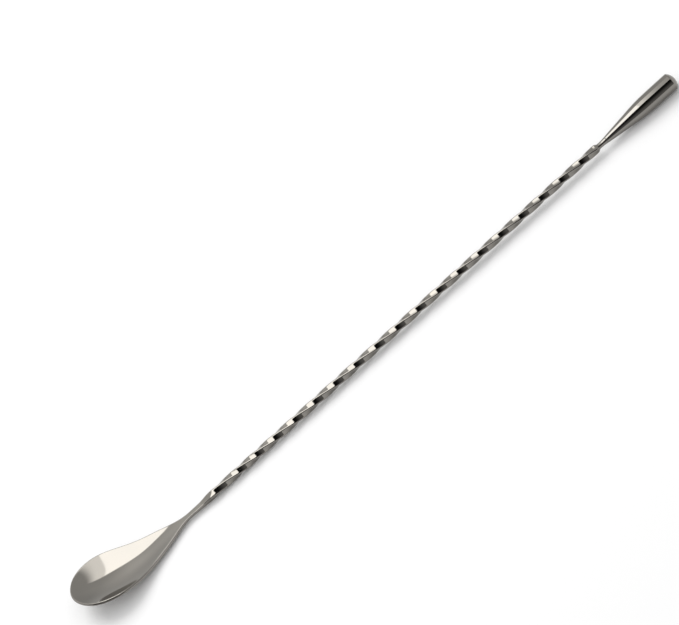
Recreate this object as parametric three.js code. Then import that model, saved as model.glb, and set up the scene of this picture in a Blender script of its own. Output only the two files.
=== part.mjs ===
// A twisted-stem bar spoon, lying on a flat surface with its bowl open upward.
//
// Three metal pieces, joined end to end:
//   bowl           stamped dish with a narrow flat neck
//   twisted_stem   square bar, forged flat where it is welded to the neck, twisted right-handed,
//                  and turned down to a plain round tenon at the other end
//   counterweight  turned teardrop with a blind bore for the tenon
//
// Millimetres, +Z up. The origin lies under the middle of the overall length, on the surface that the spoon
// rests on. +X runs from the bowl to the counterweight, and the XZ plane cuts the bowl in half.
// Stations along the spoon are distances in +X from a datum 0.2 mm ahead of the bowl's tip.

import * as THREE from 'three';

// ---- driving dimensions ------------------------------------------------------------------------------------

const CROWN_STATION = 305;     // end of the counterweight: 304.8 overall, which is 12 inches
const MIDDLE_STATION = 152.6;  // middle of the overall length

const EDGE = 0.8;              // inner rim at the tip: the metal's own thickness leans out ahead of it
const WELD_AT = 60.3;          // where the bowl's neck meets the stem
const WELD_GAP = 0.1;          // between the two faces of the weld

// inner rim: half width divided by the square root of the distance from the tip's inner edge
const RIM_WIDTH = [
  [0.8, 4.4], [4, 4.3], [8, 3.98], [12.8, 3.53], [17.3, 3.1], [22.7, 2.5], [28.9, 1.81], [35, 1.24],
  [41.1, 0.821], [47.2, 0.428], [50.3, 0.268], [53.4, 0.177], [57, 0.162], [60.3, 0.1636], [64, 0.158],
];
// inner rim: height above the stem axis
const RIM_HEIGHT = [
  [0.8, 8.88], [5.9, 7.95], [10.5, 7.2], [15.1, 6.05], [19.6, 4.73], [25.8, 2.86], [31.9, 1.56],
  [38, 1.0], [44.2, 0.66], [50.3, 0.53], [56.4, 0.48], [60.3, 0.48], [64, 0.48],
];
// depth of the dish under its rim, on the middle line
const DISH_DEPTH = [
  [0.8, 0], [3.5, 1.2], [6, 2.07], [9, 2.79], [12, 3.24], [15, 3.42], [18, 3.37], [22, 3.05], [26, 2.57],
  [30, 2.06], [34, 1.57], [38, 1.11], [42, 0.68], [46, 0.32], [49.5, 0.11], [53, 0.02], [56, 0], [60, 0], [64, 0],
];
// across the dish, how far its sides are flatter at the rim than a parabola's
const RIM_FLARE = 0.18;
// extra metal under the middle of the dish towards the neck
const HEEL = 0.3;
const HEEL_STATION = 34;
const HEEL_REACH = 9;
// metal under the upper face, measured square to it: sheet in the dish, forged thicker at the neck's end
const METAL = [
  [1, 1.0], [5, 1.12], [11, 1.22], [18, 1.14], [25, 1.12], [32, 1.3], [40, 1.35], [48, 1.3], [54, 1.29], [57, 1.33],
  [60.3, 1.44], [64, 1.6],
];

const BAR_SIDE = 2.88;         // the square bar, across its flats
const BAR_CORNER = 0.56;       // rounding of its corners
const WELD_HALF_WIDTH = 1.26;  // the stem's forged end, to match the neck
const WELD_CORNER = 0.3;
const WELD_TOP = 0.48;
const WELD_BOTTOM = -0.96;
const SQUARE_FROM = 67.5;      // from here on the bar is the full square
// quarter turns of the twist by station
const TWIST = [
  [59.2, 0], [70.6, 0.533], [90.4, 2.50], [110.4, 4.533], [152.6, 8.533], [195.1, 12.533],
  [237.3, 16.533], [257.9, 18.533], [268, 19.51],
];
const TWIST_STARTS = 59.2;
const TWIST_STEADY = 71.0;     // full rate from here on

const BAR_ENDS = 264.5;        // the square starts to run down to a round waist
// the waist, out to the shoulder that the counterweight butts against
const WAIST = [[265.9, 1.14], [267.3, 1.13], [268.6, 1.24], [269.7, 1.37]];
const TENON_RADIUS = 0.75;
const TENON_ENDS = 281;

const WEIGHT_AT = 269.8;
const BORE_RADIUS = 0.9;
const BORE_ENDS = 281.8;
const RIM_STATION = 303.3;     // sharp edge between the weight's side and its crown
// outer radius of the counterweight by station
const WEIGHT_RADIUS = [
  [269.8, 1.38], [271, 1.55], [272.5, 1.75], [274, 1.94], [275.6, 2.13], [277.1, 2.31], [278.6, 2.50],
  [280.2, 2.69], [281.7, 2.88], [283.2, 3.07], [284.8, 3.25], [286.3, 3.41], [287.8, 3.53], [289.4, 3.61],
  [292.4, 3.68], [295, 3.71], [298.6, 3.72], [303.3, 3.72],
];
const CROWN_HEIGHT = CROWN_STATION - RIM_STATION;

// The spoon rests on a small flat worn on its belly and on the counterweight. The belly reaches less far under the
// stem axis than the weight does, so the axis rises slightly towards the weight.
const BELLY_STATION = 34;
const BELLY_DROP = 1.74;       // from the stem axis down to the flat
const WEIGHT_SEGMENTS = 36;
const WEIGHT_RESTS_AT = 295;
const WEIGHT_DROP = 3.71 * Math.cos(Math.PI / WEIGHT_SEGMENTS);
const REST_SLOPE = (WEIGHT_DROP - BELLY_DROP) / (WEIGHT_RESTS_AT - BELLY_STATION);

const GUNMETAL = { color: 0x8f8a84, roughness: 0.12, metalness: 1.0 };

// ---- helpers -----------------------------------------------------------------------------------------------

// natural cubic spline through [station, value] pairs
function spline(points) {
  const n = points.length;
  const x = points.map((p) => p[0]);
  const y = points.map((p) => p[1]);
  const second = new Array(n).fill(0);
  const u = new Array(n).fill(0);
  for (let i = 1; i < n - 1; i++) {
    const sig = (x[i] - x[i - 1]) / (x[i + 1] - x[i - 1]);
    const p = sig * second[i - 1] + 2;
    second[i] = (sig - 1) / p;
    const d = (y[i + 1] - y[i]) / (x[i + 1] - x[i]) - (y[i] - y[i - 1]) / (x[i] - x[i - 1]);
    u[i] = ((6 * d) / (x[i + 1] - x[i - 1]) - sig * u[i - 1]) / p;
  }
  for (let i = n - 2; i > 0; i--) second[i] = second[i] * second[i + 1] + u[i];
  second[0] = 0;
  return (t) => {
    let i = 0;
    while (i < n - 2 && t > x[i + 1]) i++;
    const h = x[i + 1] - x[i];
    const a = (x[i + 1] - t) / h;
    const b = (t - x[i]) / h;
    return a * y[i] + b * y[i + 1] + (((a ** 3 - a) * second[i] + (b ** 3 - b) * second[i + 1]) * h * h) / 6;
  };
}

const smooth = (a, b, t) => {
  const k = Math.min(1, Math.max(0, (t - a) / (b - a)));
  return k * k * (3 - 2 * k);
};
const toX = (station) => station - MIDDLE_STATION;
// the resting surface, seen from the stem axis
const restingSurface = (station) => -BELLY_DROP - REST_SLOPE * (station - BELLY_STATION);

function meshOf(name, positions, triangles) {
  const geometry = new THREE.BufferGeometry();
  geometry.setAttribute('position', new THREE.Float32BufferAttribute(positions.flat(), 3));
  geometry.setIndex(triangles.flat());
  geometry.computeVertexNormals();
  const mesh = new THREE.Mesh(geometry, new THREE.MeshStandardMaterial({ ...GUNMETAL, name: 'polished_gunmetal' }));
  mesh.name = name;
  return mesh;
}

// ---- bowl --------------------------------------------------------------------------------------------------

const rimWidth = spline(RIM_WIDTH);
const rimHeight = spline(RIM_HEIGHT);
const dishDepth = spline(DISH_DEPTH);
const metal = spline(METAL);

const halfWidth = (t) => Math.sqrt(Math.max(0, t - EDGE)) * rimWidth(t);
const depth = (t) => (t > 57 ? 0 : Math.max(0, dishDepth(t)));

// upper face of the bowl, above the stem axis: hung from the two rims
function upperFace(t, y) {
  const w = halfWidth(t);
  const square = w > 1e-6 ? Math.min(1, (y / w) ** 2) : 1;
  const share = square * (1 + RIM_FLARE * (1 - square));
  return rimHeight(t) - depth(t) * (1 - share);
}

const metalAt = (t, eta) => metal(t) + HEEL * (1 - eta * eta) * Math.exp(-(((t - HEEL_STATION) / HEEL_REACH) ** 2));

function upperPoint(t, eta) {
  const y = eta * halfWidth(t);
  return [t, y, upperFace(t, y)];
}

// unit normal of the upper face, by differences taken inside the outline
function upperNormal(t, eta) {
  const h = 0.01;
  const t1 = Math.max(EDGE + 0.02, t);
  const at = (tt, ee) => new THREE.Vector3(...upperPoint(tt, ee));
  const e0 = Math.max(-1, eta - h);
  const e1 = Math.min(1, eta + h);
  const along = at(t1 + h, eta).sub(at(Math.max(EDGE + 0.005, t1 - h), eta));
  const across = at(t1, e1).sub(at(t1, e0));
  return along.cross(across).normalize();
}

function makeBowl() {
  const stations = [EDGE];
  const tipSteps = 12;
  for (let i = 1; i <= tipSteps; i++) stations.push(EDGE + 12.3 * (i / tipSteps) ** 2);
  for (let t = 15.2; t < 54; t += 2.45) stations.push(t);
  for (const t of [54.6, 56.5, 58.4, WELD_AT]) stations.push(t);
  const columns = 14;

  const positions = [];
  const rows = [];               // rows[i] = { up: [...], low: [...] }
  const put = (p) => {
    positions.push([toX(p[0]), p[1], p[2]]);
    return positions.length - 1;
  };
  stations.forEach((t, i) => {
    const row = { up: [], low: [] };
    const count = i === 0 ? 0 : columns;
    for (let k = 0; k <= count; k++) {
      // finer towards the rim
      const s = count === 0 ? 0 : (2 * k) / count - 1;
      const eta = Math.sin((s * Math.PI) / 2) * 0.45 + s * 0.55;
      const n = upperNormal(t, eta);
      if (t > 57) n.set(0, 0, 1);
      const p = upperPoint(t, eta);
      const m = metalAt(t, eta);
      // the belly is pressed flat where it touches the surface
      const low = [p[0] - n.x * m, p[1] - n.y * m, p[2] - n.z * m];
      low[2] = Math.max(low[2], restingSurface(low[0]));
      row.up.push(put(p));
      row.low.push(put(low));
    }
    rows.push(row);
  });

  const triangles = [];
  const quad = (a, b, c, d) => triangles.push([a, b, c], [a, c, d]);
  for (let i = 0; i + 1 < rows.length; i++) {
    const a = rows[i];
    const b = rows[i + 1];
    if (i === 0) {
      for (let k = 0; k < columns; k++) {
        triangles.push([a.up[0], b.up[k], b.up[k + 1]]);
        triangles.push([a.low[0], b.low[k + 1], b.low[k]]);
      }
      quad(a.up[0], a.low[0], b.low[0], b.up[0]);
      quad(a.low[0], a.up[0], b.up[columns], b.low[columns]);
      continue;
    }
    for (let k = 0; k < columns; k++) {
      quad(a.up[k], b.up[k], b.up[k + 1], a.up[k + 1]);
      quad(a.low[k], a.low[k + 1], b.low[k + 1], b.low[k]);
    }
    quad(a.up[0], a.low[0], b.low[0], b.up[0]);
    quad(a.low[columns], a.up[columns], b.up[columns], b.low[columns]);
  }
  const end = rows[rows.length - 1];
  for (let k = 0; k < columns; k++) quad(end.up[k], end.low[k], end.low[k + 1], end.up[k + 1]);
  return meshOf('bowl', positions, triangles);
}

// ---- twisted stem ------------------------------------------------------------------------------------------

const quarterTurns = spline(TWIST);
const RATE = (quarterTurns(TWIST_STEADY + 0.05) - quarterTurns(TWIST_STEADY - 0.05)) / 0.1;

// the twist eases in from the flat neck, then runs at its full rate
function twistAngle(t) {
  if (t <= TWIST_STARTS) return 0;
  if (t >= TWIST_STEADY) return (quarterTurns(t) * Math.PI) / 2;
  const span = TWIST_STEADY - TWIST_STARTS;
  const k = (t - TWIST_STARTS) / span;
  const end = quarterTurns(TWIST_STEADY);
  const slope = RATE * span;
  // cubic with value and slope 0 at the start, and the steady twist's value and slope at the end
  return ((((slope - 2 * end) * k + (3 * end - slope)) * k * k) * Math.PI) / 2;
}

// rounded rectangle: mid-face and corner points in order, counterclockwise seen from +X
function section(halfWide, top, bottom, corner) {
  const points = [];
  const mid = (top + bottom) / 2;
  const halfHigh = (top - bottom) / 2;
  const faces = [[1, 0], [0, 1], [-1, 0], [0, -1]];
  const corners = [[1, 1], [-1, 1], [-1, -1], [1, -1]];
  for (let q = 0; q < 4; q++) {
    points.push([faces[q][0] * halfWide, faces[q][1] * halfHigh]);
    const [sy, sz] = corners[q];
    const cy = sy * (halfWide - corner);
    const cz = sz * (halfHigh - corner);
    for (const turn of [0, 45, 90]) {
      const a = ((q * 90 + turn) * Math.PI) / 180;
      points.push([cy + corner * Math.cos(a), cz + corner * Math.sin(a)]);
    }
  }
  return { points, mid };
}

function makeStem() {
  const positions = [];
  const rings = [];
  const ring = (t, points) => {
    rings.push(points.map(([y, z]) => {
      positions.push([toX(t), y, z]);
      return positions.length - 1;
    }));
  };
  const bar = (t) => {
    const m = smooth(WELD_AT, SQUARE_FROM, t);
    const half = BAR_SIDE / 2;
    const s = section(
      WELD_HALF_WIDTH + (half - WELD_HALF_WIDTH) * m,
      WELD_TOP + (half - WELD_TOP) * m,
      WELD_BOTTOM + (-half - WELD_BOTTOM) * m,
      WELD_CORNER + (BAR_CORNER - WELD_CORNER) * m,
    );
    const a = twistAngle(t);
    return s.points.map(([y, z]) => [
      y * Math.cos(a) - z * Math.sin(a),
      y * Math.sin(a) + z * Math.cos(a) + s.mid,
    ]);
  };

  ring(WELD_AT + WELD_GAP, bar(WELD_AT + WELD_GAP));
  const steps = 108;
  const from = 61.6;
  for (let i = 0; i <= steps; i++) {
    const t = from + ((BAR_ENDS - from) * i) / steps;
    ring(t, bar(t));
  }
  // the bar's end runs down to the round waist
  const last = bar(BAR_ENDS);
  const lastAngle = twistAngle(BAR_ENDS);
  const round = (radius) => last.map((_, i) => {
    const a = (i * Math.PI * 2) / last.length + lastAngle;
    return [radius * Math.cos(a), radius * Math.sin(a)];
  });
  const runDown = 4;
  const [waistAt, waistRadius] = WAIST[0];
  for (let i = 1; i <= runDown; i++) {
    const k = i / runDown;
    const mix = smooth(0, 1, k);
    const target = round(waistRadius);
    ring(BAR_ENDS + (waistAt - BAR_ENDS) * k, last.map((p, j) => [
      p[0] + (target[j][0] - p[0]) * mix,
      p[1] + (target[j][1] - p[1]) * mix,
    ]));
  }
  for (const [t, radius] of WAIST.slice(1)) ring(t, round(radius));
  ring(WAIST[WAIST.length - 1][0], round(TENON_RADIUS));
  ring(TENON_ENDS - 0.3, round(TENON_RADIUS));
  ring(TENON_ENDS, round(TENON_RADIUS - 0.3));

  const triangles = [];
  for (let i = 0; i + 1 < rings.length; i++) {
    const a = rings[i];
    const b = rings[i + 1];
    for (let j = 0; j < a.length; j++) {
      const k = (j + 1) % a.length;
      triangles.push([a[j], a[k], b[k]], [a[j], b[k], b[j]]);
    }
  }
  const cap = (loop, flip) => {
    for (let j = 1; j + 1 < loop.length; j++) {
      triangles.push(flip ? [loop[0], loop[j + 1], loop[j]] : [loop[0], loop[j], loop[j + 1]]);
    }
  };
  cap(rings[0], true);
  cap(rings[rings.length - 1], false);
  return meshOf('twisted_stem', positions, triangles);
}

// ---- counterweight -----------------------------------------------------------------------------------------

function makeWeight() {
  const profile = [
    [0, BORE_ENDS],
    [BORE_RADIUS, BORE_ENDS - 0.4],
    [BORE_RADIUS, WEIGHT_AT],
    ...WEIGHT_RADIUS.map(([t, r]) => [r, t]),
  ];
  // the crown is a cap of a sphere
  const edge = WEIGHT_RADIUS[WEIGHT_RADIUS.length - 1][1];
  const sphere = (edge ** 2 + CROWN_HEIGHT ** 2) / (2 * CROWN_HEIGHT);
  const half = Math.asin(edge / sphere);
  for (let i = 1; i <= 5; i++) {
    const a = half * (1 - i / 5);
    profile.push([i === 5 ? 0 : sphere * Math.sin(a), CROWN_STATION - sphere + sphere * Math.cos(a)]);
  }
  const geometry = new THREE.LatheGeometry(
    profile.map(([r, t]) => new THREE.Vector2(r, t)),
    WEIGHT_SEGMENTS,
    Math.PI / WEIGHT_SEGMENTS,   // a flat of the polygon faces down
  );
  const mesh = new THREE.Mesh(
    geometry,
    new THREE.MeshStandardMaterial({ ...GUNMETAL, name: 'polished_gunmetal' }),
  );
  mesh.name = 'counterweight';
  // the lathe's own axis is +Y: lay it along +X
  mesh.rotation.z = -Math.PI / 2;
  mesh.position.set(toX(0), 0, 0);
  return mesh;
}

const spoon = new THREE.Group();
spoon.name = 'bar_spoon';
spoon.add(makeBowl(), makeStem(), makeWeight());

// laid down: turned by the rest slope, lifted on to the surface, and centred along X
const tilt = Math.atan(REST_SLOPE);
spoon.rotation.y = -tilt;
spoon.position.z = (BELLY_DROP - REST_SLOPE * toX(BELLY_STATION)) * Math.cos(tilt);
spoon.updateMatrixWorld(true);
const box = new THREE.Box3().setFromObject(spoon, true);
spoon.position.x = -(box.min.x + box.max.x) / 2;

export default spoon;
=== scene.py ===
"""A polished gunmetal bar spoon, lying on a pale floor in soft studio light."""
import math
import bpy
import numpy as np
from mathutils import Matrix, Vector


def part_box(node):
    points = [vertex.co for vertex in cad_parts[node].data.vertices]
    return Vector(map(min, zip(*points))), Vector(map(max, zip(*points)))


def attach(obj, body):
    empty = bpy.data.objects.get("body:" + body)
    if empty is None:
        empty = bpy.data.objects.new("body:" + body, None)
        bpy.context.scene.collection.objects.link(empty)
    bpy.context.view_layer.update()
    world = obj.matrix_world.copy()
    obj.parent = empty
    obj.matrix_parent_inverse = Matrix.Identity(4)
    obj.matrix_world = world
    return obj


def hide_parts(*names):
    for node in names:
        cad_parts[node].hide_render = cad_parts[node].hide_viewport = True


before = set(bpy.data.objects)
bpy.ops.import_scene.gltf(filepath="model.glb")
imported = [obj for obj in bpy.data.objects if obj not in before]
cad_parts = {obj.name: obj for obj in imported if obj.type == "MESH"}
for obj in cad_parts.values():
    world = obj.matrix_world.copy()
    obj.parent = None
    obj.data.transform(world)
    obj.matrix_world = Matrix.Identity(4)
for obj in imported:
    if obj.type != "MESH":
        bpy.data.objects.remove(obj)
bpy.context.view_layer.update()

MM = 0.001

# ---- the spoon's driving dimensions, as in the CAD (mm; stations along +X, heights above the stem axis) ------

MIDDLE_STATION = 152.6
CROWN_STATION = 305.0
EDGE = 0.8
WELD_AT = 60.3
RIM_WIDTH = [
    (0.8, 4.4), (4, 4.3), (8, 3.98), (12.8, 3.53), (17.3, 3.1), (22.7, 2.5), (28.9, 1.81), (35, 1.24),
    (41.1, 0.821), (47.2, 0.428), (50.3, 0.268), (53.4, 0.177), (57, 0.162), (60.3, 0.1636), (64, 0.158),
]
# the rim's height at 5.9 and 10.5 is faired by up to 0.08 mm against the CAD's, so that reflections run smoothly
RIM_HEIGHT = [
    (0.8, 8.88), (5.9, 7.97), (10.5, 7.12), (15.1, 6.05), (19.6, 4.73), (25.8, 2.86), (31.9, 1.56),
    (38, 1.0), (44.2, 0.66), (50.3, 0.53), (56.4, 0.48), (60.3, 0.48), (64, 0.48),
]
DISH_DEPTH = [
    (0.8, 0), (3.5, 1.2), (6, 2.07), (9, 2.79), (12, 3.24), (15, 3.42), (18, 3.37), (22, 3.05), (26, 2.57),
    (30, 2.06), (34, 1.57), (38, 1.11), (42, 0.68), (46, 0.32), (49.5, 0.11), (53, 0.02), (56, 0), (60, 0), (64, 0),
]
RIM_FLARE = 0.18
HEEL = 0.3
HEEL_STATION = 34.0
HEEL_REACH = 9.0
METAL = [
    (1, 1.0), (5, 1.12), (11, 1.22), (18, 1.14), (25, 1.12), (32, 1.3), (40, 1.35), (48, 1.3), (54, 1.29),
    (57, 1.33), (60.3, 1.44), (64, 1.6),
]
BAR_SIDE = 2.88
BAR_CORNER = 0.56
WELD_CORNER = 0.3
WELD_HALF_WIDTH = 1.26
WELD_TOP = 0.48
WELD_BOTTOM = -0.96
SQUARE_FROM = 67.5
TWIST = [
    (59.2, 0), (70.6, 0.533), (90.4, 2.50), (110.4, 4.533), (152.6, 8.533), (195.1, 12.533),
    (237.3, 16.533), (257.9, 18.533), (268, 19.51),
]
TWIST_STARTS = 59.2
TWIST_STEADY = 71.0
BAR_ENDS = 264.5
WAIST = [(265.9, 1.14), (267.3, 1.13), (268.6, 1.24), (269.7, 1.37)]
TENON_RADIUS = 0.75
TENON_ENDS = 281.0
WEIGHT_AT = 269.8
BORE_RADIUS = 0.9
BORE_ENDS = 281.8
RIM_STATION = 303.3
WEIGHT_RADIUS = [
    (269.8, 1.38), (271, 1.55), (272.5, 1.75), (274, 1.94), (275.6, 2.13), (277.1, 2.31), (278.6, 2.50),
    (280.2, 2.69), (281.7, 2.88), (283.2, 3.07), (284.8, 3.25), (286.3, 3.41), (287.8, 3.53), (289.4, 3.61),
    (292.4, 3.68), (295, 3.71), (298.6, 3.72), (303.3, 3.72),
]
CROWN_HEIGHT = CROWN_STATION - RIM_STATION
BELLY_STATION = 34.0
BELLY_DROP = 1.74
WEIGHT_RESTS_AT = 295.0
WEIGHT_DROP = 3.71 * math.cos(math.pi / 36)
REST_SLOPE = (WEIGHT_DROP - BELLY_DROP) / (WEIGHT_RESTS_AT - BELLY_STATION)


def spline(points):
    """Natural cubic spline through (station, value) pairs, for arrays of stations."""
    n = len(points)
    x = [float(p[0]) for p in points]
    y = [float(p[1]) for p in points]
    s = [0.0] * n
    u = [0.0] * n
    for i in range(1, n - 1):
        sig = (x[i] - x[i - 1]) / (x[i + 1] - x[i - 1])
        p = sig * s[i - 1] + 2
        s[i] = (sig - 1) / p
        d = (y[i + 1] - y[i]) / (x[i + 1] - x[i]) - (y[i] - y[i - 1]) / (x[i] - x[i - 1])
        u[i] = (6 * d / (x[i + 1] - x[i - 1]) - sig * u[i - 1]) / p
    for i in range(n - 2, 0, -1):
        s[i] = s[i] * s[i + 1] + u[i]
    s[0] = 0.0
    xa, ya, sa = np.array(x), np.array(y), np.array(s)

    def f(t):
        t = np.asarray(t, float)
        i = np.clip(np.searchsorted(xa, t, side="left") - 1, 0, n - 2)
        h = xa[i + 1] - xa[i]
        a = (xa[i + 1] - t) / h
        b = (t - xa[i]) / h
        return a * ya[i] + b * ya[i + 1] + ((a**3 - a) * sa[i] + (b**3 - b) * sa[i + 1]) * h * h / 6

    return f


rim_width, rim_height = spline(RIM_WIDTH), spline(RIM_HEIGHT)
dish_depth, metal = spline(DISH_DEPTH), spline(METAL)
quarter_turns, weight_radius = spline(TWIST), spline(WEIGHT_RADIUS)


def smooth(a, b, t):
    k = np.clip((np.asarray(t, float) - a) / (b - a), 0, 1)
    return k * k * (3 - 2 * k)


def half_width(t):
    return np.sqrt(np.maximum(0, t - EDGE)) * rim_width(t)


def depth(t):
    return np.where(t > 57, 0.0, np.maximum(0, dish_depth(t)))


def upper_face(t, y):
    w = np.maximum(half_width(t), 1e-5)
    square = np.minimum(1.0, (y / w) ** 2)
    return rim_height(t) - depth(t) * (1 - square * (1 + RIM_FLARE * (1 - square)))


# ---- placing: the spoon's own frame, turned by the rest slope and set on the surface -------------------------

TILT = math.atan(REST_SLOPE)
LIFT = (BELLY_DROP - REST_SLOPE * (BELLY_STATION - MIDDLE_STATION)) * math.cos(TILT)
# along X the CAD centres its own box: the crown's end gives the shift
crown_local = CROWN_STATION - MIDDLE_STATION
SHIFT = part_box("counterweight")[1].x / MM - crown_local * math.cos(TILT)


def place(points):
    """Points in the spoon's own frame (station, y, z), in mm, to the row frame in metres."""
    p = np.asarray(points, float)
    x = p[:, 0] - MIDDLE_STATION
    c, s = math.cos(TILT), math.sin(TILT)
    return np.stack([(c * x - s * p[:, 2] + SHIFT) * MM, p[:, 1] * MM, (s * x + c * p[:, 2] + LIFT) * MM], 1)


def mesh_object(name, points, faces, wear=None, sharp=None):
    mesh = bpy.data.meshes.new(name)
    mesh.from_pydata([tuple(map(float, p)) for p in place(points)], [], faces)
    mesh.validate()
    mesh.update()
    mesh.polygons.foreach_set("use_smooth", [True] * len(mesh.polygons))
    if wear is not None:
        attribute = mesh.attributes.new("edge_wear", "FLOAT", "POINT")
        attribute.data.foreach_set("value", np.asarray(wear, np.float32))
    obj = bpy.data.objects.new(name, mesh)
    bpy.context.scene.collection.objects.link(obj)
    return obj


# ---- bowl ----------------------------------------------------------------------------------------------------
# A grid that fans out from a line along the middle of the dish to its rim, so that the tip has no pinched rows.


def build_bowl():
    fillet_full = 0.36
    # stations of the rim points, close together round the tip
    tip = [EDGE + 16.2 * (i / 46.0) ** 2 for i in range(47)]
    rest = list(np.linspace(17.0, 60.32, 116))[1:]
    rim_t = np.array(tip + rest)
    n_rim = len(rim_t)

    # one side of the rim (y > 0), in plan, with its outward direction
    h = 1e-3
    q = np.sqrt(rim_t - EDGE)  # the outline is smooth in q

    def outline(qq):
        t = EDGE + qq * qq
        return t, qq * rim_width(t)

    t0, y0 = outline(q)
    ta, ya = outline(np.maximum(q - h, -h))
    tb, yb = outline(q + h)
    ya = np.where(q - h < 0, -np.abs(ya), ya)
    dt, dy = tb - ta, yb - ya
    length = np.hypot(dt, dy)
    out = np.stack([-dy / length, dt / length], 1)  # left of the direction of travel: outwards for y > 0
    out[0] = (-1.0, 0.0)

    fillet = fillet_full + (WELD_CORNER - fillet_full) * smooth(44, 58, rim_t)
    # where the middle line's point sits for each rim point
    def spine(t):
        return np.where(t < 30, 14.0 + 16.0 * ((t - EDGE) / (30 - EDGE)) ** 1.6, t)

    sp = spine(rim_t)
    across = 26
    rho = np.linspace(0, 1, across + 1)
    rho = 1 - (1 - rho) ** 1.18

    def gradient(t, y):
        e = 2e-3
        ft = (upper_face(t + e, y) - upper_face(np.maximum(t - e, EDGE + 1e-4), y)) / (e + np.minimum(e, t - EDGE - 1e-4))
        w = np.maximum(half_width(t), 1e-5)
        square = np.minimum(1.0, (y / w) ** 2)
        fy = 2 * depth(t) * y / w**2 * (1 + RIM_FLARE - 2 * RIM_FLARE * square)
        return ft, fy

    def normal(t, y):
        ft, fy = gradient(t, y)
        n = np.stack([-ft, -fy, np.ones_like(ft)], 1)
        return n / np.linalg.norm(n, axis=1, keepdims=True)

    points, rows_up, rows_low, wear = [], [], [], []

    def put(p, w=0.0):
        points.append(tuple(p))
        wear.append(w)
        return len(points) - 1

    # slope of the dish just inside the rim, to set the rim's inset in plan
    def side(sign):
        """The upper face for one side: for each rim index, its columns' stations, offsets, heights and normals, with
        the rim's outward direction, climb and fillet radius.
        """
        grid = []
        for i in range(n_rim):
            r = fillet[i]
            o = np.array([out[i, 0], sign * out[i, 1]])
            edge_t, edge_y = t0[i], sign * y0[i]
            # step in from the rim by the fillet, measured along the surface
            probe_t, probe_y = edge_t - 0.3 * o[0], edge_y - 0.3 * o[1]
            ft, fy = gradient(np.array([probe_t]), np.array([probe_y]))
            climb = float(ft[0] * o[0] + fy[0] * o[1])
            inset = r / math.sqrt(1 + climb * climb)
            in_t, in_y = edge_t - inset * o[0], edge_y - inset * o[1]
            base = np.array([sp[i], 0.0])
            span = np.array([in_t, in_y]) - base
            column = [base + span * k for k in rho]
            ts = np.array([c[0] for c in column])
            ys = np.array([c[1] for c in column])
            zs = upper_face(ts, ys)
            n = normal(ts, ys)
            flat = smooth(54, 57.5, ts)[:, None]
            n = n * (1 - flat) + np.array([0, 0, 1.0]) * flat
            n /= np.linalg.norm(n, axis=1, keepdims=True)
            grid.append((ts, ys, zs, n, o, climb, r))
        return grid

    # the sheet is drawn thinner in the belly, so that its smooth underside just reaches the resting surface
    def thickness(ts, k, thin):
        heel = (HEEL - thin) * (1 - k**2) * np.exp(-(((ts - HEEL_STATION) / HEEL_REACH) ** 2))
        return metal(ts) + heel

    sides = {1: side(1), -1: side(-1)}

    def lowest(thin):
        least = 1e9
        for ts, ys, zs, n, *_ in sides[1]:
            m = thickness(ts, rho, thin)
            low_z = zs - n[:, 2] * m
            low_t = ts - n[:, 0] * m
            surface = -BELLY_DROP - REST_SLOPE * (low_t - BELLY_STATION)
            least = min(least, float((low_z - surface).min()))
        return least

    a, b = -0.4, 0.8
    for _ in range(40):
        mid = (a + b) / 2
        if lowest(mid) < 0:
            a = mid
        else:
            b = mid
    thin = b

    turns = 7
    index = {}
    for sign in (1, -1):
        strips = []
        for i, (ts, ys, zs, n, o, climb, r) in enumerate(sides[sign]):
            m = thickness(ts, rho, thin)
            shared_rim = sign == -1 and i == 0  # the tip's row lies on the middle plane
            if shared_rim:
                strips.append(index[1][0])
                continue
            strip = []
            for k in range(across + 1):
                if k == 0 and sign == -1:
                    strip.append(index[1][i][0])
                else:
                    strip.append(put((ts[k], ys[k], zs[k])))
            p_in = np.array([ts[-1], ys[-1], zs[-1]])
            n_in = n[-1]
            o3 = np.array([o[0], o[1], climb])
            o3 -= n_in * o3.dot(n_in)
            o3 /= np.linalg.norm(o3)
            mm = m[-1]
            for j in range(1, turns + 1):
                ang = j / turns * math.pi / 2
                strip.append(put(p_in + o3 * (r * math.sin(ang)) - n_in * (r * (1 - math.cos(ang))), 1.0 if 2 <= j <= 6 else 0.45))
            flat_span = mm - 2 * r
            for j in (1, 2):
                strip.append(put(p_in + o3 * r - n_in * (r + flat_span * j / 3), 0.25))
            for j in range(0, turns):
                ang = j / turns * math.pi / 2
                strip.append(put(p_in + o3 * (r * math.cos(ang)) - n_in * (mm - r + r * math.sin(ang)), 0.8 if 1 <= j <= 5 else 0.4))
            for k in range(across, -1, -1):
                if k == 0 and sign == -1:
                    strip.append(index[1][i][-1])
                else:
                    q3 = np.array([ts[k], ys[k], zs[k]]) - n[k] * m[k]
                    strip.append(put(q3))
            strips.append(strip)
        index[sign] = strips

    faces = []
    width = len(index[1][0])
    for sign in (1, -1):
        strips = index[sign]
        for i in range(n_rim - 1):
            for k in range(width - 1):
                a, b, c, d = strips[i][k], strips[i + 1][k], strips[i + 1][k + 1], strips[i][k + 1]
                f = [a, b, c, d] if sign == 1 else [a, d, c, b]
                f = [v for j, v in enumerate(f) if v != f[j - 1]]
                if len(set(f)) >= 3:
                    faces.append(f)
    # close the neck's end with its own ring of points, so that the corner stays crisp
    ring = index[1][-1] + index[-1][-1][1:-1][::-1]
    last = [put(points[v]) for v in ring]
    faces.append(last)
    return points, faces, wear, last


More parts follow.
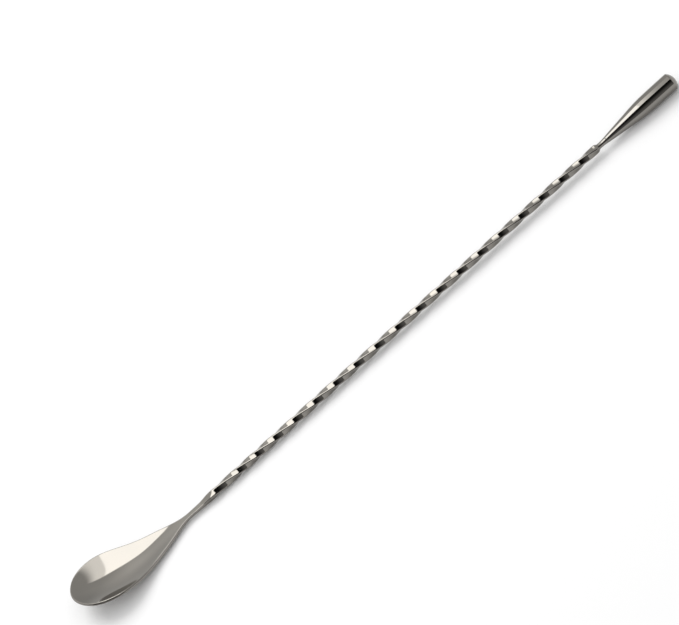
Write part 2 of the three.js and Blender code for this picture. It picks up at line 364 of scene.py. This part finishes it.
def close(points, faces, wear, name):
    """Merge doubled points (all but the end caps' own rings are shared already) and point every face outwards."""
    obj = mesh_object(name, points, faces, wear)
    import bmesh

    bm = bmesh.new()
    bm.from_mesh(obj.data)
    bmesh.ops.remove_doubles(bm, verts=bm.verts, dist=1e-7)
    bmesh.ops.recalc_face_normals(bm, faces=bm.faces)
    open_edges = sum(1 for e in bm.edges if len(e.link_faces) != 2)
    volume = bm.calc_volume(signed=True)
    if volume < 0:
        bmesh.ops.reverse_faces(bm, faces=bm.faces)
    for e in bm.edges:
        if len(e.link_faces) == 2 and e.calc_face_angle(0) > math.radians(34):
            e.smooth = False
    bm.to_mesh(obj.data)
    bm.free()
    print(f"{name}: {len(obj.data.vertices)} points, {len(obj.data.polygons)} faces, {open_edges} open edges, {abs(volume) * 1e9:.1f} mm3")
    return obj


bowl = close(*build_bowl()[:3], "bowl_dish")

# ---- twisted stem --------------------------------------------------------------------------------------------

RATE = float(quarter_turns(TWIST_STEADY + 0.05) - quarter_turns(TWIST_STEADY - 0.05)) / 0.1


def twist_angle(t):
    if t <= TWIST_STARTS:
        return 0.0
    if t >= TWIST_STEADY:
        return float(quarter_turns(t)) * math.pi / 2
    span = TWIST_STEADY - TWIST_STARTS
    k = (t - TWIST_STARTS) / span
    end = float(quarter_turns(TWIST_STEADY))
    slope = RATE * span
    return ((slope - 2 * end) * k + (3 * end - slope)) * k * k * math.pi / 2


CORNER_STEPS = 8
FLAT_STEPS = 7


def section(half_wide, top, bottom, corner):
    """Rounded rectangle, anticlockwise seen from +X: [(y, z, wear)], and its middle height."""
    pts = []
    mid = (top + bottom) / 2
    high = (top - bottom) / 2
    corners = [(1, 1), (-1, 1), (-1, -1), (1, -1)]
    for qd in range(4):
        sy, sz = corners[qd]
        cy, cz = sy * (half_wide - corner), sz * (high - corner)
        for j in range(CORNER_STEPS + 1):
            a = math.radians(qd * 90 + 90 * j / CORNER_STEPS)
            w = 1.0 if 1 <= j <= CORNER_STEPS - 1 else 0.5
            pts.append((cy + corner * math.cos(a), cz + corner * math.sin(a), w))
        nsy, nsz = corners[(qd + 1) % 4]
        ny, nz = nsy * (half_wide - corner), nsz * (high - corner)
        a = math.radians(qd * 90 + 90)
        start = (cy + corner * math.cos(a), cz + corner * math.sin(a))
        end = (ny + corner * math.cos(a), nz + corner * math.sin(a))
        for j in range(1, FLAT_STEPS):
            k = j / FLAT_STEPS
            pts.append((start[0] + (end[0] - start[0]) * k, start[1] + (end[1] - start[1]) * k, 0.0))
    return pts, mid


def bar(t):
    m = float(smooth(WELD_AT, SQUARE_FROM, t))
    half = BAR_SIDE / 2
    pts, mid = section(
        WELD_HALF_WIDTH + (half - WELD_HALF_WIDTH) * m,
        WELD_TOP + (half - WELD_TOP) * m,
        WELD_BOTTOM + (-half - WELD_BOTTOM) * m,
        WELD_CORNER + (BAR_CORNER - WELD_CORNER) * m,
    )
    a = twist_angle(t)
    c, s = math.cos(a), math.sin(a)
    return [(y * c - z * s, y * s + z * c + mid, w) for y, z, w in pts]


def build_stem():
    points, wear, rings = [], [], []

    def ring(t, pts):
        row = []
        for y, z, w in pts:
            points.append((t, y, z))
            wear.append(w)
            row.append(len(points) - 1)
        rings.append(row)

    start = WELD_AT + 0.045
    for t in np.linspace(start, 72, 60):
        ring(float(t), bar(float(t)))
    steps = 800
    for i in range(1, steps + 1):
        t = 72 + (BAR_ENDS - 72) * i / steps
        ring(t, bar(t))
    last = bar(BAR_ENDS)
    angle = twist_angle(BAR_ENDS)
    count = len(last)
    # each point of the square keeps its own direction on the round
    heading = [math.atan2(z, y) for y, z, _ in last]

    def round_ring(radius):
        return [(radius * math.cos(a), radius * math.sin(a), 0.15) for a in heading]

    waist = spline([(265.9, 1.14), (267.3, 1.13), (268.6, 1.24), (269.7, 1.37)])
    to_round = 14
    for i in range(1, to_round + 1):
        k = i / to_round
        mix = float(smooth(0, 1, k))
        target = round_ring(1.14)
        t = BAR_ENDS + (265.9 - BAR_ENDS) * k
        ring(t, [(a[0] + (b[0] - a[0]) * mix, a[1] + (b[1] - a[1]) * mix, a[2] * (1 - mix)) for a, b in zip(last, target)])
    for t in np.linspace(265.9, 269.62, 26)[1:]:
        ring(float(t), round_ring(float(waist(t))))
    ring(269.70, round_ring(1.34))
    ring(269.72, round_ring(1.29))
    for t, r in ((269.72, TENON_RADIUS), (270.2, TENON_RADIUS), (TENON_ENDS - 0.3, TENON_RADIUS), (TENON_ENDS, TENON_RADIUS - 0.3)):
        ring(t, round_ring(r))
    faces = []
    for i in range(len(rings) - 1):
        a, b = rings[i], rings[i + 1]
        for j in range(count):
            k = (j + 1) % count
            faces.append([a[j], a[k], b[k], b[j]])
    for loop, flip in ((rings[0], True), (rings[-1], False)):
        own = []
        for v in loop:
            points.append(points[v])
            wear.append(0.0)
            own.append(len(points) - 1)
        faces.append(own[::-1] if flip else own)
    return points, faces, wear


stem = close(*build_stem(), "twisted_bar")

# ---- counterweight -------------------------------------------------------------------------------------------


def build_weight():
    profile = [(BORE_ENDS, 0.0, 0), (BORE_ENDS - 0.4, BORE_RADIUS, 0), (WEIGHT_AT + 0.3, BORE_RADIUS, 0), (WEIGHT_AT - 0.05, BORE_RADIUS + 0.05, 0)]
    profile += [(WEIGHT_AT - 0.05, 1.25, 0.2), (WEIGHT_AT - 0.04, 1.31, 0.8), (WEIGHT_AT - 0.01, 1.355, 0.8), (WEIGHT_AT + 0.05, 1.392, 0.4)]
    for t in np.linspace(WEIGHT_AT + 0.25, RIM_STATION - 0.35, 120):
        profile.append((float(t), float(weight_radius(t)), 0))
    # the crown is a cap of a sphere, and its edge is broken by a small round
    edge = 3.72
    sphere = (edge**2 + CROWN_HEIGHT**2) / (2 * CROWN_HEIGHT)
    half = math.asin(edge / sphere)
    br = 0.28
    # the round touches the side (radius edge) and the sphere
    cr = edge - br
    ct = CROWN_STATION - sphere + math.sqrt((sphere - br) ** 2 - cr**2)
    lean = math.atan2(cr, ct - (CROWN_STATION - sphere))
    for j in range(9):
        a = math.pi / 2 - (math.pi / 2 - lean) * j / 8
        profile.append((ct + br * math.cos(a), cr + br * math.sin(a), 1.0 if 1 <= j <= 7 else 0.4))
    for j in range(1, 25):
        a = lean * (1 - j / 24)
        profile.append((CROWN_STATION - sphere + sphere * math.cos(a), 0.0 if j == 24 else sphere * math.sin(a), 0))
    segments = 144
    points, wear, rows = [], [], []
    for t, r, w in profile:
        if r == 0.0:
            points.append((t, 0.0, 0.0))
            wear.append(w)
            rows.append([len(points) - 1])
            continue
        row = []
        for j in range(segments):
            a = 2 * math.pi * j / segments
            points.append((t, r * math.cos(a), r * math.sin(a)))
            wear.append(w)
            row.append(len(points) - 1)
        rows.append(row)
    faces = []
    for i in range(len(rows) - 1):
        a, b = rows[i], rows[i + 1]
        for j in range(segments):
            k = (j + 1) % segments
            if len(a) == 1:
                faces.append([a[0], b[k], b[j]])
            elif len(b) == 1:
                faces.append([a[j], a[k], b[0]])
            else:
                faces.append([a[j], a[k], b[k], b[j]])
    return points, faces, wear


weight = close(*build_weight(), "teardrop_weight")

for piece, node, slot in ((bowl, "bowl", "bowl_metal"), (stem, "twisted_stem", "stem_metal"), (weight, "counterweight", "weight_metal")):
    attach(piece, "root")
    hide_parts(node)

# ---- gunmetal: black-nickel plating over polished steel ------------------------------------------------------


def gunmetal(name, tone, warm, rough_low, rough_high, line_scale, line_strength, wear_tone):
    """line_scale stretches the fine polishing lines along each axis of the object."""
    material = bpy.data.materials.new(name)
    material.use_nodes = True
    tree = material.node_tree
    nodes, links = tree.nodes, tree.links
    shader = nodes["Principled BSDF"]
    shader.inputs["Metallic"].default_value = 1.0
    shader.inputs["IOR"].default_value = 1.5
    shader.inputs["Specular IOR Level"].default_value = 0.5
    coords = nodes.new("ShaderNodeTexCoord")

    # tone of the plating: slow cloudy change, a little warmer where it is thinner
    clouds = nodes.new("ShaderNodeTexNoise")
    clouds.inputs["Scale"].default_value = 55.0
    clouds.inputs["Detail"].default_value = 4.0
    clouds.inputs["Roughness"].default_value = 0.55
    links.new(coords.outputs["Object"], clouds.inputs["Vector"])
    cloud_ramp = nodes.new("ShaderNodeValToRGB")
    cloud_ramp.color_ramp.elements[0].position = 0.32
    cloud_ramp.color_ramp.elements[0].color = (*tone, 1)
    cloud_ramp.color_ramp.elements[1].position = 0.72
    cloud_ramp.color_ramp.elements[1].color = (*warm, 1)
    links.new(clouds.outputs["Fac"], cloud_ramp.inputs["Fac"])

    # bare metal just showing on the edges, broken up by a finer noise
    attribute = nodes.new("ShaderNodeAttribute")
    attribute.attribute_name = "edge_wear"
    fleck = nodes.new("ShaderNodeTexNoise")
    fleck.inputs["Scale"].default_value = 900.0
    fleck.inputs["Detail"].default_value = 3.0
    links.new(coords.outputs["Object"], fleck.inputs["Vector"])
    spots = nodes.new("ShaderNodeMapRange")
    spots.inputs["From Min"].default_value = 0.38
    spots.inputs["From Max"].default_value = 0.68
    spots.inputs["To Min"].default_value = 0.35
    spots.inputs["To Max"].default_value = 1.0
    links.new(fleck.outputs["Fac"], spots.inputs["Value"])
    worn = nodes.new("ShaderNodeMath")
    worn.operation = "MULTIPLY"
    links.new(attribute.outputs["Fac"], worn.inputs[0])
    links.new(spots.outputs["Result"], worn.inputs[1])
    amount = nodes.new("ShaderNodeMath")
    amount.operation = "MULTIPLY"
    amount.inputs[1].default_value = 0.5
    links.new(worn.outputs[0], amount.inputs[0])
    mix = nodes.new("ShaderNodeMix")
    mix.data_type = "RGBA"
    mix.inputs["B"].default_value = (*wear_tone, 1)
    links.new(amount.outputs[0], mix.inputs["Factor"])
    links.new(cloud_ramp.outputs["Color"], mix.inputs["A"])
    links.new(mix.outputs["Result"], shader.inputs["Base Color"])

    # polishing lines: noise drawn out along the work, in roughness and as a very faint relief
    mapping = nodes.new("ShaderNodeMapping")
    mapping.inputs["Scale"].default_value = line_scale
    links.new(coords.outputs["Object"], mapping.inputs["Vector"])
    lines = nodes.new("ShaderNodeTexNoise")
    lines.inputs["Scale"].default_value = 1.0
    lines.inputs["Detail"].default_value = 5.0
    lines.inputs["Roughness"].default_value = 0.6
    links.new(mapping.outputs["Vector"], lines.inputs["Vector"])
    rough = nodes.new("ShaderNodeMapRange")
    rough.inputs["From Min"].default_value = 0.3
    rough.inputs["From Max"].default_value = 0.75
    rough.inputs["To Min"].default_value = rough_low
    rough.inputs["To Max"].default_value = rough_high
    links.new(lines.outputs["Fac"], rough.inputs["Value"])
    links.new(rough.outputs["Result"], shader.inputs["Roughness"])
    bump = nodes.new("ShaderNodeBump")
    bump.inputs["Strength"].default_value = line_strength
    bump.inputs["Distance"].default_value = 0.00001
    links.new(lines.outputs["Fac"], bump.inputs["Height"])
    links.new(bump.outputs["Normal"], shader.inputs["Normal"])
    return material


BASE = (0.225, 0.2155, 0.1985)
WARM = (0.243, 0.229, 0.208)
EDGE_TONE = (0.29, 0.272, 0.25)
bowl.data.materials.append(gunmetal("gunmetal_dish", BASE, WARM, 0.035, 0.085, (420, 1500, 420), 0.06, EDGE_TONE))
stem.data.materials.append(gunmetal("gunmetal_bar", BASE, WARM, 0.05, 0.13, (260, 1800, 1800), 0.1, EDGE_TONE))
weight.data.materials.append(gunmetal("gunmetal_turned", BASE, WARM, 0.05, 0.11, (2400, 260, 260), 0.08, EDGE_TONE))
for node, material in (("bowl", bowl), ("twisted_stem", stem), ("counterweight", weight)):
    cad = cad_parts[node]
    for slot_ in cad.material_slots:
        slot_.material = material.data.materials[0]

# ---- floor, studio and camera --------------------------------------------------------------------------------

scene = bpy.context.scene
WORLD = 0.8
KEY = 9.5
scene.view_settings.view_transform = "Standard"
scene.view_settings.look = "None"
scene.view_settings.exposure = 0.0
scene.view_settings.gamma = 1.0

# camera: looks along the spoon's own XZ plane from 43 degrees up, turned so that the spoon lies corner to corner
ELEVATION = math.radians(43.0)
ROLL = math.radians(42.03)
DISTANCE = 2500.0
PER_PIXEL = 0.3831
tilt_matrix = Matrix.Rotation(-TILT, 3, "Y")
r = tilt_matrix @ Vector((1, 0, 0))
u = tilt_matrix @ Vector((0, math.sin(ELEVATION), math.cos(ELEVATION)))
b = tilt_matrix @ Vector((0, -math.cos(ELEVATION), math.sin(ELEVATION)))
right = math.cos(ROLL) * r - math.sin(ROLL) * u
up = math.sin(ROLL) * r + math.cos(ROLL) * u
centre = Vector([c for c in place([(152.5, 0.0, 0.0)])[0]]) / MM
eye = centre + DISTANCE * b - 39.4 * PER_PIXEL * right + 32.2 * PER_PIXEL * up
camera_data = bpy.data.cameras.new("camera")
camera_data.sensor_fit = "HORIZONTAL"
camera_data.sensor_width = 36.0
camera_data.lens = 36.0 * DISTANCE / (679 * PER_PIXEL)
camera_data.clip_start = 0.01
camera_data.clip_end = 50.0
camera = bpy.data.objects.new("camera", camera_data)
camera.matrix_world = Matrix((
    (right.x, up.x, b.x, eye.x * MM),
    (right.y, up.y, b.y, eye.y * MM),
    (right.z, up.z, b.z, eye.z * MM),
    (0, 0, 0, 1),
))
scene.collection.objects.link(camera)
scene.camera = camera


# floor
floor_mesh = bpy.data.meshes.new("floor")
F = 6.0
floor_mesh.from_pydata([(-F, -F, 0), (F, -F, 0), (F, F, 0), (-F, F, 0)], [], [[0, 1, 2, 3]])
floor = bpy.data.objects.new("floor", floor_mesh)
scene.collection.objects.link(floor)
floor_material = bpy.data.materials.new("pale_floor")
floor_material.use_nodes = True
fs = floor_material.node_tree.nodes["Principled BSDF"]
fs.inputs["Base Color"].default_value = (0.95, 0.95, 0.95, 1)
fs.inputs["Roughness"].default_value = 0.6
fs.inputs["Specular IOR Level"].default_value = 0.0
floor_mesh.materials.append(floor_material)

# even white surroundings
world = bpy.data.worlds.new("studio")
world.use_nodes = True
world.node_tree.nodes["Background"].inputs["Color"].default_value = (1.0, 1.0, 1.0, 1)
world.node_tree.nodes["Background"].inputs["Strength"].default_value = WORLD
scene.world = world

# a soft light from high on the far side: it only draws the shadow towards the camera
key_data = bpy.data.lights.new("key", "AREA")
key_data.shape = "DISK"
key_data.size = 1.1
key_data.energy = KEY
key_data.color = (1.0, 1.0, 1.0)
key = bpy.data.objects.new("key", key_data)
key_from = Vector((-0.25, 0.9, 1.1))
key.location = key_from
key.rotation_euler = (key_from - Vector((-0.05, 0, 0))).to_track_quat("Z", "Y").to_euler()
key.visible_glossy = False
key.visible_camera = False
scene.collection.objects.link(key)


def glowing(name, points, faces, colours):
    """A stage mesh that glows with a colour at each point. Only reflections see it."""
    mesh = bpy.data.meshes.new(name)
    mesh.from_pydata([tuple(map(float, p)) for p in points], [], faces)
    attribute = mesh.color_attributes.new("glow", "FLOAT_COLOR", "POINT")
    attribute.data.foreach_set("color", np.concatenate([np.asarray(colours, np.float32), np.ones((len(points), 1), np.float32)], 1).ravel())
    obj = bpy.data.objects.new(name, mesh)
    scene.collection.objects.link(obj)
    material = bpy.data.materials.new(name)
    material.use_nodes = True
    nodes = material.node_tree.nodes
    nodes.clear()
    output = nodes.new("ShaderNodeOutputMaterial")
    emission = nodes.new("ShaderNodeEmission")
    colour = nodes.new("ShaderNodeAttribute")
    colour.attribute_name = "glow"
    material.node_tree.links.new(colour.outputs["Color"], emission.inputs["Color"])
    material.node_tree.links.new(emission.outputs[0], output.inputs[0])
    mesh.materials.append(material)
    mesh.materials[0].cycles.emission_sampling = "NONE"
    obj.visible_camera = False
    obj.visible_shadow = False
    obj.visible_diffuse = False
    return obj


def step(edge, value, soft):
    k = min(1.0, max(0.0, (value - edge) / soft + 0.5))
    return k * k * (3 - 2 * k)


REACH = 0.57  # from the spoon's axis to the studio's panels
SURROUND = 1.02
SOFTBOX = 4.1
FILL = 2.6


def studio(x, th):
    """Light at x, th degrees round the spoon's axis: 0 the far side, 90 overhead, 180 the near side."""
    glow = 0.3 * math.exp(-(((th - 42) / 22) ** 2) - (((x + 0.08) / 0.18) ** 2))
    grade = (1 - 0.22 * float(smooth(-0.05, 0.1, x))) * (0.84 + 0.16 * float(smooth(5, 40, th)))
    rgb = np.array([1.0, 0.995, 0.985]) * (SURROUND + glow) * grade
    overhead = step(60, th, 2.0) * (1 - step(107, th, 2.0))
    # one plain rectangular softbox overhead, and a dimmer one beside it
    box = overhead * step(-0.205, x, 0.01) * (1 - step(0.087, x, 0.006))
    fill = overhead * step(0.087, x, 0.006) * (1 - float(smooth(0.12, 0.2, x)))
    rgb = rgb * (1 - box) + np.array([1.0, 0.995, 0.985]) * SOFTBOX * box
    rgb = rgb * (1 - fill) + np.array([1.0, 0.99, 0.975]) * FILL * fill
    # the unlit side of the room, a little paler towards the floor
    dark = step(108, th, 3.0)
    shade = 0.015 + 0.27 * float(smooth(125, 178, th))
    return rgb * (1 - dark) + np.array([1.0, 0.99, 0.975]) * shade * dark


xs_ = np.concatenate([np.linspace(-1.2, -0.32, 12)[:-1], np.linspace(-0.32, 0.32, 214), np.linspace(0.32, 1.2, 12)[1:]])
ths_ = np.linspace(-2, 188, 286)
shell_points, shell_colours = [], []
for x_ in xs_:
    for th_ in ths_:
        t_ = math.radians(th_)
        shell_points.append((x_, math.cos(t_) * REACH, 0.005 + math.sin(t_) * REACH))
        shell_colours.append(studio(float(x_), float(th_)))
n_ = len(ths_)
shell_faces = [[i * n_ + j, i * n_ + j + 1, (i + 1) * n_ + j + 1, (i + 1) * n_ + j] for i in range(len(xs_) - 1) for j in range(n_ - 1)]
glowing("studio_panels", shell_points, shell_faces, shell_colours)
